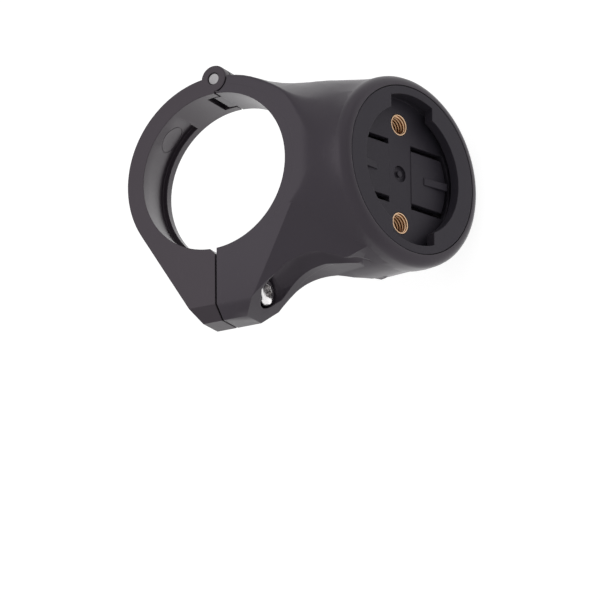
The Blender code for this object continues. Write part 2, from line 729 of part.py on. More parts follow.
def socket_plate(collection, helpers, material):
    """The quarter-turn socket: an undercut cup with two spring tongues in its floor."""
    place = head_place()
    profile = [
        (0, 0),
        (PLATE_RADIUS - PLATE_EDGE, 0),
        (PLATE_RADIUS, -PLATE_EDGE),
        (PLATE_RADIUS, -PLATE_THICKNESS),
        (0, -PLATE_THICKNESS),
    ]
    plate = turned("socket_plate", collection, profile, place)
    for side in (1, -1):
        join(plate, insert_boss(helpers, side))
    cup = [
        (0, ABOVE),
        (SOCKET_RADIUS, ABOVE),
        (SOCKET_RADIUS, -LEDGE_THICKNESS),
        (UNDERCUT_RADIUS, -LEDGE_THICKNESS),
        (UNDERCUT_RADIUS, -SOCKET_DEPTH),
        (0, -SOCKET_DEPTH),
    ]
    cut(plate, as_helper(turned("socket_cup", helpers, cup, place)), notches(helpers))
    for side in (1, -1):
        cut(plate, tongue_slots(helpers, side))
        join(plate, tongue_top(helpers, side), detent(helpers, side))
        bore = cylinder(
            f"insert_room_{side}",
            helpers,
            INSERT_RADIUS + SNUG,
            TALL,
            head_place(side=side * INSERT_SPACING / 2),
            INSERT_SIDES,
        )
        cut(plate, as_helper(bore))
    cut(plate, dimple(helpers))
    plate.data.materials.append(material)
    smooth(plate)
    return plate


def insert_boss(helpers, side):
    """A boss behind the floor that carries one threaded insert."""
    top = (SOCKET_DEPTH + PLATE_THICKNESS) / 2
    place = head_place(depth=-(top + BOSS_DEPTH) / 2, side=side * INSERT_SPACING / 2)
    name = f"insert_boss_{side}"
    return as_helper(cylinder(name, helpers, BOSS_RADIUS, BOSS_DEPTH - top, place, DISC_SIDES))


def notches(helpers):
    """The two notches that let a lamp's tabs drop in behind the ledge."""
    half = math.asin(NOTCH_HALF_WIDTH / NOTCH_RADIUS)
    upper = arc((0, 0), NOTCH_RADIUS, math.pi / 2 - half, math.pi / 2 + half, NOTCH_STEPS)
    lower = arc((0, 0), NOTCH_RADIUS, 3 * math.pi / 2 - half, 3 * math.pi / 2 + half, NOTCH_STEPS)
    bottom = -(LEDGE_THICKNESS + SOCKET_DEPTH) / 2
    return as_helper(prism("notches", helpers, upper + lower, bottom, ABOVE, head_place()))


def tongue_slots(helpers, side):
    """The U-shaped slot that frees one spring tongue from the floor."""
    inner_half = math.asin(TONGUE_HALF_WIDTH / TONGUE_REACH)
    outer_radius = TONGUE_REACH + TONGUE_SLOT
    outer_half = math.asin((TONGUE_HALF_WIDTH + TONGUE_SLOT) / outer_radius)
    middle = 0 if side > 0 else math.pi
    outer = arc((0, 0), outer_radius, middle - outer_half, middle + outer_half, TONGUE_STEPS)
    inner = arc((0, 0), TONGUE_REACH, middle + inner_half, middle - inner_half, TONGUE_STEPS)
    width = TONGUE_HALF_WIDTH
    root = side * TONGUE_ROOT
    first = [(root, side * (width + TONGUE_SLOT)), (root, side * width)]
    last = [(root, -side * width), (root, -side * (width + TONGUE_SLOT))]
    top = -(LEDGE_THICKNESS + SOCKET_DEPTH) / 2
    return as_helper(
        prism(f"tongue_slot_{side}", helpers, outer + first + inner + last, -TALL / 4, top, head_place())
    )


def tongue_top(helpers, side):
    """The raised pad that stiffens one tongue."""
    width, reach = TONGUE_HALF_WIDTH - PAD_MARGIN, TONGUE_REACH - PAD_MARGIN
    half = math.asin(width / reach)
    middle = 0 if side > 0 else math.pi
    tip = arc((0, 0), reach, middle - half, middle + half, TONGUE_STEPS)
    root = side * TONGUE_ROOT
    outline = [*tip, (root, side * width), (root, -side * width)]
    low, high = -(SOCKET_DEPTH + PLATE_THICKNESS) / 2, -SOCKET_DEPTH + TONGUE_RISE
    return as_helper(prism(f"tongue_top_{side}", helpers, outline, low, high, head_place()))


def detent(helpers, side):
    """The wedge on one tongue that a lamp's tab clicks over."""
    start, end = DETENT_START, TONGUE_REACH - TONGUE_BACKSET
    top = -SOCKET_DEPTH + TONGUE_RISE
    base = top - DETENT_RISE / 2
    shape = bmesh.new()
    corners = []
    for v in (-DETENT_HALF_WIDTH, DETENT_HALF_WIDTH):
        corners.append(
            [
                shape.verts.new((side * start, v, base)),
                shape.verts.new((side * end, v, base)),
                shape.verts.new((side * end, v * DETENT_TOP_SHARE, top + DETENT_RISE)),
                shape.verts.new((side * start, v * DETENT_TOP_SHARE, top + DETENT_RISE / 4)),
            ]
        )
    shape.faces.new(corners[0])
    shape.faces.new(corners[1])
    for i in range(4):
        j = (i + 1) % 4
        shape.faces.new((corners[0][i], corners[0][j], corners[1][j], corners[1][i]))
    bmesh.ops.triangulate(shape, faces=shape.faces)
    bmesh.ops.transform(shape, matrix=head_place(), verts=shape.verts)
    return as_helper(object_from_bmesh(f"detent_{side}", shape, helpers))


def dimple(helpers):
    """The round moulding gate in the middle of the floor, with its stub left standing."""
    floor = -SOCKET_DEPTH
    above = floor + LEDGE_THICKNESS / 2
    profile = [
        (STUB_RADIUS, floor - DIMPLE_DEPTH),
        (STUB_RADIUS, above),
        (DIMPLE_RADIUS, above),
        (DIMPLE_RADIUS, floor - DIMPLE_DEPTH),
        (STUB_RADIUS, floor - DIMPLE_DEPTH),
    ]
    return as_helper(turned("dimple", helpers, profile, head_place(), steps=HOLE_SIDES))


def threaded_insert(name, collection, helpers, side, material):
    """One brass insert in the socket's floor."""
    place = head_place(depth=-SOCKET_DEPTH - INSERT_LENGTH / 2, side=side * INSERT_SPACING / 2)
    insert = cylinder(name, collection, INSERT_RADIUS, INSERT_LENGTH, place, INSERT_SIDES)
    round_edges(insert, INSERT_EDGE)
    cut(insert, as_helper(cylinder(name + "_bore", helpers, INSERT_BORE_RADIUS, TALL, place, HOLE_SIDES)))
    insert.data.materials.append(material)
    smooth(insert)
    return insert


def main():
    clear_scene()
    parts = make_collection("seatpost_light_mount")
    helpers = make_collection("cutters")
    helpers.hide_render = True
    plastic = make_material("black_plastic", (0.055, 0.052, 0.056), 0.5)
    plate_plastic = make_material("socket_plastic", (0.05, 0.048, 0.052), 0.55)
    steel = make_material("stainless_steel", (0.72, 0.72, 0.73), 0.25, 1.0)
    brass = make_material("brass", (0.78, 0.55, 0.28), 0.3, 1.0)
    main_body(parts, helpers, plastic)
    clamp_arm(parts, helpers, plastic)
    hinge_pin(parts, steel)
    clamp_screw(parts, helpers, steel)
    clamp_nut(parts, helpers, steel)
    socket_plate(parts, helpers, plate_plastic)
    threaded_insert("threaded_insert_upper", parts, helpers, 1, brass)
    threaded_insert("threaded_insert_lower", parts, helpers, -1, brass)


main()
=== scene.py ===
"""Dressed model of a hinged seatpost mount with a round quarter-turn socket.

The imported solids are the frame. The moulded pieces get smooth copies with a grained black
plastic, and the arm's copy also gets the taper of its relief. The screw and the two inserts
are rebuilt with their threads. The studio has a white floor and soft light. Lengths are in
metres, in the frame of the solids: +Z runs up the seatpost, +X points to the socket head and
+Y to the hinge.
"""

from __future__ import annotations

import json
import logging
import math
from collections.abc import Sequence
from dataclasses import dataclass, field
from enum import Enum

import bmesh
import bpy
from mathutils import Matrix, Vector

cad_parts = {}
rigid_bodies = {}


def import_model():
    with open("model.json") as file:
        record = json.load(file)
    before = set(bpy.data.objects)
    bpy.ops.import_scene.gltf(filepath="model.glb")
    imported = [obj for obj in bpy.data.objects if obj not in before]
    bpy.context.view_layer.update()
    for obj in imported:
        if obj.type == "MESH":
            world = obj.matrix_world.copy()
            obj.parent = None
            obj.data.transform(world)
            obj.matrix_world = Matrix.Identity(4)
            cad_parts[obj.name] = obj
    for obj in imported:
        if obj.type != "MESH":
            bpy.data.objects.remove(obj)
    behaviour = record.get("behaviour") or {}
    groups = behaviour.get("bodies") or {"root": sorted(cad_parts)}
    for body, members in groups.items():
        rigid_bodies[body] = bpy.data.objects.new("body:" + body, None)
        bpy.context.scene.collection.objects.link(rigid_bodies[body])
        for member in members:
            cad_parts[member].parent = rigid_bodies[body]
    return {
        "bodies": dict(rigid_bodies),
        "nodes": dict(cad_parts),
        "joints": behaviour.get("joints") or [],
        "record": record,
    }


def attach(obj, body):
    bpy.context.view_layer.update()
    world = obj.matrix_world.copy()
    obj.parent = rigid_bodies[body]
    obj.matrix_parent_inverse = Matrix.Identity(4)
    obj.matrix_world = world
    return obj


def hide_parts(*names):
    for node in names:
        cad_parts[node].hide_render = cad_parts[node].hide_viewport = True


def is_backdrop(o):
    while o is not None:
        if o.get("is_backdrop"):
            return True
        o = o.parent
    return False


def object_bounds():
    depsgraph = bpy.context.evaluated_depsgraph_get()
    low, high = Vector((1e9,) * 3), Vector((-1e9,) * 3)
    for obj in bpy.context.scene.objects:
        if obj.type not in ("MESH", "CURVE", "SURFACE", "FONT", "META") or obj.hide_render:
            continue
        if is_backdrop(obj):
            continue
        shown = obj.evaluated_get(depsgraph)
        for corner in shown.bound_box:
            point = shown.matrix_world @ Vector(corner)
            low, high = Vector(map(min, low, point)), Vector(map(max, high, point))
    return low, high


LOG = logging.getLogger("seatpost_mount")
MM = 0.001
SCREW_AXIS_Y = -25.6 * MM


class Body(Enum):
    """The rigid bodies that pieces ride on."""

    MOUNT = "mount"
    ARM = "arm"
    SCREW = "screw"


class Slot(Enum):
    """The record's material slot names."""

    PLASTIC = "black_plastic"
    SOCKET = "socket_plastic"
    STAINLESS = "stainless_steel"
    BRASS = "brass"


@dataclass(frozen=True)
class SocketPlace:
    """Where the socket's face stands: its centre and how far it leans back."""

    centre: tuple[float, float, float] = (34.5 * MM, 0.0, -14.7 * MM)
    tilt: float = math.radians(14.7)

    def matrix(self, depth: float = 0.0, side: float = 0.0) -> Matrix:
        """Return the matrix whose Z axis leaves the face and whose X axis runs up it.

        Args:
            depth: How far in front of the face the origin lies.
            side: How far towards +Y, or -Y when negative, the origin lies.

        Returns:
            The matrix from the socket's own axes to the frame.
        """
        normal = Vector((math.cos(self.tilt), 0, math.sin(self.tilt)))
        up = Vector((-math.sin(self.tilt), 0, math.cos(self.tilt)))
        across = Vector((0, 1, 0))
        turn = Matrix((up, -across, normal)).transposed().to_4x4()
        return Matrix.Translation(Vector(self.centre) + normal * depth + across * side) @ turn


SOCKET = SocketPlace()


class NodeSheet:
    """A thin layer over a node tree that adds nodes and links in one line each."""

    def __init__(self, tree: bpy.types.NodeTree) -> None:
        """Keep the tree that nodes are added to."""
        self.tree = tree

    def add(self, kind: str, **settings: object) -> bpy.types.Node:
        """Add a node and set its properties.

        Args:
            kind: The node's type name.
            **settings: Properties of the node by name.

        Returns:
            The new node.
        """
        node = self.tree.nodes.new(kind)
        for name, value in settings.items():
            setattr(node, name, value)
        return node

    def link(self, source: bpy.types.NodeSocket, target: bpy.types.NodeSocket) -> None:
        """Link an output to an input."""
        self.tree.links.new(source, target)

    def math(self, operation: str, first: object, second: object = 0.0) -> bpy.types.NodeSocket:
        """Add a Math node whose inputs are sockets or numbers.

        Args:
            operation: The node's operation.
            first: The first input.
            second: The second input.

        Returns:
            The node's output.
        """
        node = self.add("ShaderNodeMath", operation=operation)
        for socket, value in zip(node.inputs, (first, second)):
            if isinstance(value, bpy.types.NodeSocket):
                self.link(value, socket)
            else:
                socket.default_value = value
        return node.outputs[0]

    def spread(self, value: bpy.types.NodeSocket, low: float, high: float) -> bpy.types.NodeSocket:
        """Map a value from 0..1 to low..high.

        Args:
            value: The socket to map.
            low: The result at 0.
            high: The result at 1.

        Returns:
            The mapped output.
        """
        node = self.add("ShaderNodeMapRange")
        self.link(value, node.inputs["Value"])
        node.inputs["To Min"].default_value = low
        node.inputs["To Max"].default_value = high
        return node.outputs["Result"]

    def noise(self, vector: bpy.types.NodeSocket, scale: object, detail: float) -> bpy.types.NodeSocket:
        """Add a Noise texture.

        Args:
            vector: The coordinates.
            scale: The scale, as a number or a socket.
            detail: The number of octaves.

        Returns:
            The texture's value.
        """
        node = self.add("ShaderNodeTexNoise")
        self.link(vector, node.inputs["Vector"])
        if isinstance(scale, bpy.types.NodeSocket):
            self.link(scale, node.inputs["Scale"])
        else:
            node.inputs["Scale"].default_value = scale
        node.inputs["Detail"].default_value = detail
        return node.outputs["Fac"]


class SharedEffects:
    """The shader node groups that more than one finish uses."""

    GRAIN_DETAIL = 3.0
    MOTTLE_DETAIL = 4.0
    SCUFF_STRETCH = (1.0, 0.25, 2.5)
    SCUFF_SCALE = 900.0
    SCUFF_DETAIL = 2.0
    SCUFF_LEVEL = 0.66
    EDGE_SAMPLES = 6
    EDGE_GAIN = 5.0
    RING_SLOPE = 0.7
    RING_SHARE = 0.3
    TOOL_SCALE = 2500.0
    TOOL_DETAIL = 2.0
    STAIN_SCALE = 400.0
    STAIN_DETAIL = 3.0

    def __init__(self) -> None:
        """Build each group once."""
        self.grain = self._moulded_grain()
        self.edges = self._edge_round_and_highlight()
        self.turning = self._turning_marks()

    @staticmethod
    def _start(name: str, inputs: dict[str, str], outputs: dict[str, str]) -> bpy.types.NodeTree:
        """Make an empty shader group.

        Args:
            name: The group's name.
            inputs: Socket types by name.
            outputs: Socket types by name.

        Returns:
            The group's tree.
        """
        tree = bpy.data.node_groups.new(name, "ShaderNodeTree")
        for label, kind in inputs.items():
            tree.interface.new_socket(label, in_out="INPUT", socket_type=kind)
        for label, kind in outputs.items():
            tree.interface.new_socket(label, in_out="OUTPUT", socket_type=kind)
        return tree

    def _moulded_grain(self) -> bpy.types.NodeTree:
        """Build the fine spark-eroded grain of moulded plastic.

        Returns:
            A group with a height for the grain and a slow mottle.
        """
        tree = self._start(
            "moulded_grain",
            {
                "Vector": "NodeSocketVector",
                "Grain Scale": "NodeSocketFloat",
                "Mottle Scale": "NodeSocketFloat",
            },
            {"Height": "NodeSocketFloat", "Mottle": "NodeSocketFloat", "Scuffs": "NodeSocketFloat"},
        )
        sheet = NodeSheet(tree)
        source = sheet.add("NodeGroupInput")
        result = sheet.add("NodeGroupOutput")
        vector = source.outputs["Vector"]
        fine = sheet.noise(vector, source.outputs["Grain Scale"], self.GRAIN_DETAIL)
        mottle = sheet.noise(vector, source.outputs["Mottle Scale"], self.MOTTLE_DETAIL)
        stretched = sheet.add("ShaderNodeMapping")
        stretched.inputs["Scale"].default_value = self.SCUFF_STRETCH
        sheet.link(vector, stretched.inputs["Vector"])
        scratches = sheet.noise(stretched.outputs["Vector"], self.SCUFF_SCALE, self.SCUFF_DETAIL)
        scuffs = sheet.math("GREATER_THAN", scratches, self.SCUFF_LEVEL)
        sheet.link(fine, result.inputs["Height"])
        sheet.link(mottle, result.inputs["Mottle"])
        sheet.link(sheet.math("MULTIPLY", scuffs, mottle), result.inputs["Scuffs"])
        return tree

    def _edge_round_and_highlight(self) -> bpy.types.NodeTree:
        """Build the softened normal and the mask of sharp edges, where the plastic gets a painted
        highlight.

        Returns:
            A group with a normal that rounds sharp edges and a mask that is 1 on them.
        """
        tree = self._start(
            "edge_round_and_highlight",
            {"Radius": "NodeSocketFloat"},
            {"Normal": "NodeSocketVector", "Mask": "NodeSocketFloat"},
        )
        sheet = NodeSheet(tree)
        source = sheet.add("NodeGroupInput")
        result = sheet.add("NodeGroupOutput")
        bevel = sheet.add("ShaderNodeBevel", samples=self.EDGE_SAMPLES)
        sheet.link(source.outputs["Radius"], bevel.inputs["Radius"])
        geometry = sheet.add("ShaderNodeNewGeometry")
        dot = sheet.add("ShaderNodeVectorMath", operation="DOT_PRODUCT")
        sheet.link(bevel.outputs["Normal"], dot.inputs[0])
        sheet.link(geometry.outputs["Normal"], dot.inputs[1])
        sharp = sheet.math("SUBTRACT", 1.0, dot.outputs["Value"])
        strong = sheet.math("MULTIPLY", sharp, self.EDGE_GAIN)
        sheet.link(bevel.outputs["Normal"], result.inputs["Normal"])
        sheet.link(sheet.math("MINIMUM", strong, 1.0), result.inputs["Mask"])
        return tree

    def _turning_marks(self) -> bpy.types.NodeTree:
        """Build the fine rings that a lathe leaves round an axis.

        Returns:
            A group with a height for the rings and a slow stain.
        """
        tree = self._start(
            "turning_marks",
            {"Vector": "NodeSocketVector", "Rings": "NodeSocketFloat"},
            {"Height": "NodeSocketFloat", "Stain": "NodeSocketFloat"},
        )
        sheet = NodeSheet(tree)
        source = sheet.add("NodeGroupInput")
        result = sheet.add("NodeGroupOutput")
        parts = sheet.add("ShaderNodeSeparateXYZ")
        sheet.link(source.outputs["Vector"], parts.inputs[0])
        across = sheet.math("MULTIPLY", parts.outputs["X"], parts.outputs["X"])
        along = sheet.math("MULTIPLY", parts.outputs["Y"], parts.outputs["Y"])
        radius = sheet.math("SQRT", sheet.math("ADD", across, along))
        sweep = sheet.math("ADD", radius, sheet.math("MULTIPLY", parts.outputs["Z"], self.RING_SLOPE))
        wave = sheet.math("SINE", sheet.math("MULTIPLY", sweep, source.outputs["Rings"]))
        rough = sheet.noise(source.outputs["Vector"], self.TOOL_SCALE, self.TOOL_DETAIL)
        height = sheet.math("ADD", sheet.math("MULTIPLY", wave, self.RING_SHARE), rough)
        sheet.link(height, result.inputs["Height"])
        stain = sheet.noise(source.outputs["Vector"], self.STAIN_SCALE, self.STAIN_DETAIL)
        sheet.link(stain, result.inputs["Stain"])
        return tree


@dataclass(frozen=True)
class MouldedPlastic:
    """A satin black plastic with spark-eroded grain and a painted highlight on its sharp edges."""

    name: str
    colour: tuple[float, float, float]
    # Paler colour mixed in by the mottle and the scuffs, and on sharp edges as a painted highlight.
    scuff_and_highlight_colour: tuple[float, float, float]
    roughness: float = 0.36
    roughness_play: float = 0.06
    gloss: float = 0.42
    grain_scale: float = 5200.0
    grain_depth: float = 0.018 * MM
    grain_strength: float = 0.5
    mottle_scale: float = 130.0
    mottle_share: float = 0.25
    scuff_share: float = 0.15
    edge_radius: float = 0.22 * MM
    shine_tint: tuple[float, float, float] = (1.0, 0.91, 0.99)

    def build(self, effects: SharedEffects) -> bpy.types.Material:
        """Make the material.

        Args:
            effects: The shared node groups.

        Returns:
            The finished material.
        """
        material = bpy.data.materials.new(self.name)
        material.use_nodes = True
        sheet = NodeSheet(material.node_tree)
        shader = material.node_tree.nodes["Principled BSDF"]
        shader.inputs["Specular IOR Level"].default_value = self.gloss
        shader.inputs["Specular Tint"].default_value = (*self.shine_tint, 1)
        place = sheet.add("ShaderNodeTexCoord")
        grain = sheet.add("ShaderNodeGroup", node_tree=effects.grain)
        sheet.link(place.outputs["Object"], grain.inputs["Vector"])
        grain.inputs["Grain Scale"].default_value = self.grain_scale
        grain.inputs["Mottle Scale"].default_value = self.mottle_scale
        edges = sheet.add("ShaderNodeGroup", node_tree=effects.edges)
        edges.inputs["Radius"].default_value = self.edge_radius
        mix = sheet.add("ShaderNodeMix", data_type="RGBA")
        mix.inputs["A"].default_value = (*self.colour, 1)
        mix.inputs["B"].default_value = (*self.scuff_and_highlight_colour, 1)
        # Sharp edges take the paler colour as a painted highlight, varied by the mottle.
        edge_highlight = sheet.math("MULTIPLY", edges.outputs["Mask"], grain.outputs["Mottle"])
        mottle = sheet.math("MULTIPLY", grain.outputs["Mottle"], self.mottle_share)
        scuffs = sheet.math("MULTIPLY", grain.outputs["Scuffs"], self.scuff_share)
        scuff_tone_and_highlight = sheet.math("ADD", sheet.math("ADD", edge_highlight, mottle), scuffs)
        sheet.link(scuff_tone_and_highlight, mix.inputs["Factor"])
        sheet.link(mix.outputs["Result"], shader.inputs["Base Color"])
        low, high = self.roughness - self.roughness_play, self.roughness + self.roughness_play
        sheet.link(sheet.spread(grain.outputs["Mottle"], low, high), shader.inputs["Roughness"])
        bump = sheet.add("ShaderNodeBump")
        bump.inputs["Strength"].default_value = self.grain_strength
        bump.inputs["Distance"].default_value = self.grain_depth
        sheet.link(grain.outputs["Height"], bump.inputs["Height"])
        sheet.link(edges.outputs["Normal"], bump.inputs["Normal"])
        sheet.link(bump.outputs["Normal"], shader.inputs["Normal"])
        return material


@dataclass(frozen=True)
class TurnedMetal:
    """A metal turned on a lathe, with fine rings and a slight stain."""

    name: str
    colour: tuple[float, float, float]
    stain_colour: tuple[float, float, float]
    roughness: float
    roughness_range: tuple[float, float] = (0.75, 1.35)
    rings: float = 30000.0
    ring_depth: float = 0.006 * MM
    ring_strength: float = 0.4
    edge_radius: float = 0.12 * MM
    place: Matrix = field(default_factory=Matrix)

    def build(self, effects: SharedEffects) -> bpy.types.Material:
        """Make the material.

        Args:
            effects: The shared node groups.

        Returns:
            The finished material.
        """
        material = bpy.data.materials.new(self.name)
        material.use_nodes = True
        sheet = NodeSheet(material.node_tree)
        shader = material.node_tree.nodes["Principled BSDF"]
        shader.inputs["Metallic"].default_value = 1.0
        place = sheet.add("ShaderNodeTexCoord")
        centred = sheet.add("ShaderNodeMapping", vector_type="TEXTURE")
        centred.inputs["Location"].default_value = self.place.to_translation()
        centred.inputs["Rotation"].default_value = self.place.to_euler()
        sheet.link(place.outputs["Object"], centred.inputs["Vector"])
        marks = sheet.add("ShaderNodeGroup", node_tree=effects.turning)
        sheet.link(centred.outputs["Vector"], marks.inputs["Vector"])
        marks.inputs["Rings"].default_value = self.rings
        edges = sheet.add("ShaderNodeGroup", node_tree=effects.edges)
        edges.inputs["Radius"].default_value = self.edge_radius
        mix = sheet.add("ShaderNodeMix", data_type="RGBA")
        mix.inputs["A"].default_value = (*self.colour, 1)
        mix.inputs["B"].default_value = (*self.stain_colour, 1)
        sheet.link(marks.outputs["Stain"], mix.inputs["Factor"])
        sheet.link(mix.outputs["Result"], shader.inputs["Base Color"])
        low, high = (self.roughness * share for share in self.roughness_range)
        sheet.link(sheet.spread(marks.outputs["Stain"], low, high), shader.inputs["Roughness"])
        bump = sheet.add("ShaderNodeBump")
        bump.inputs["Strength"].default_value = self.ring_strength
        bump.inputs["Distance"].default_value = self.ring_depth
        sheet.link(marks.outputs["Height"], bump.inputs["Height"])
        sheet.link(edges.outputs["Normal"], bump.inputs["Normal"])
        sheet.link(bump.outputs["Normal"], shader.inputs["Normal"])
        return material


class Forge:
    """Makes meshes and objects for the pieces."""

    WELD = 1e-8

    @staticmethod
    def place(name: str, mesh: bpy.types.Mesh, material: bpy.types.Material) -> bpy.types.Object:
        """Put a mesh in the scene with its material.

        Args:
            name: The piece's name.
            mesh: Its mesh, in the frame.
            material: Its finish.

        Returns:
            The new object.
        """
        mesh.materials.clear()
        mesh.materials.append(material)
        piece = bpy.data.objects.new(name, mesh)
        bpy.context.scene.collection.objects.link(piece)
        return piece

    @staticmethod
    def settle(piece: bpy.types.Object) -> None:
        """Turn a piece's modifiers into a plain mesh.

        Args:
            piece: The piece with its modifiers.
        """
        bpy.context.view_layer.update()
        graph = bpy.context.evaluated_depsgraph_get()
        mesh = bpy.data.meshes.new_from_object(piece.evaluated_get(graph))
        piece.modifiers.clear()
        piece.data = mesh
        mesh.name = piece.name

    @staticmethod
    def cut(piece: bpy.types.Object, cutter: bpy.types.Object) -> None:
        """Cut one object out of a piece and delete it.

        Args:
            piece: The piece that is cut.
            cutter: The object that is cut out of it.
        """
        hollow = piece.modifiers.new(cutter.name, "BOOLEAN")
        hollow.operation = "DIFFERENCE"
        hollow.object = cutter
        Forge.settle(piece)
        bpy.data.objects.remove(cutter)

    @staticmethod
    def turned(
        name: str, profile: Sequence[tuple[float, float]], steps: int, place: Matrix
    ) -> bpy.types.Mesh:
        """Turn a closed profile round the Z axis of a matrix.

        Args:
            name: The mesh's name.
            profile: Radius and height of each corner, with ends on the axis or the same corner.
            steps: The number of facets round the axis.
            place: The matrix from the profile's axes to the frame.

        Returns:
            The mesh, closed, with outward faces.
        """
        shape = bmesh.new()
        rings = []
        for radius, height in profile:
            ring = []
            for i in range(steps):
                angle = 2 * math.pi * i / steps
                spot = (radius * math.cos(angle), radius * math.sin(angle), height)
                ring.append(shape.verts.new(spot))
            rings.append(ring)
        for low, high in zip(rings, rings[1:]):
            for i in range(steps):
                j = (i + 1) % steps
                shape.faces.new((low[i], low[j], high[j], high[i]))
        bmesh.ops.remove_doubles(shape, verts=shape.verts, dist=Forge.WELD)
        bmesh.ops.transform(shape, matrix=place, verts=shape.verts)
        bmesh.ops.recalc_face_normals(shape, faces=shape.faces)
        mesh = bpy.data.meshes.new(name)
        shape.to_mesh(mesh)
        shape.free()
        return mesh

    @staticmethod
    def swept(
        name: str, rows: Sequence[Sequence[tuple[float, float, float]]], closed: bool
    ) -> bpy.types.Mesh:
        """Join rows of corners into a tube.

        Args:
            name: The mesh's name.
            rows: The corners of each section, all of the same count.
            closed: True to join the last section to the first, False to cap both ends.

        Returns:
            The mesh, closed, with outward faces.
        """
        shape = bmesh.new()
        rings = [[shape.verts.new(spot) for spot in row] for row in rows]
        pairs = list(zip(rings, rings[1:]))
        if closed:
            pairs.append((rings[-1], rings[0]))
        sides = len(rings[0])
        for low, high in pairs:
            for i in range(sides):
                j = (i + 1) % sides
                shape.faces.new((low[i], low[j], high[j], high[i]))
        if not closed:
            shape.faces.new(rings[0])
            shape.faces.new(rings[-1])
        bmesh.ops.recalc_face_normals(shape, faces=shape.faces)
        mesh = bpy.data.meshes.new(name)
        shape.to_mesh(mesh)
        shape.free()
        return mesh

    @staticmethod
    def smooth(mesh: bpy.types.Mesh, angle: float) -> None:
        """Shade a mesh smooth except across edges sharper than the angle."""
        mesh.shade_smooth()
        mesh.set_sharp_from_angle(angle=angle)


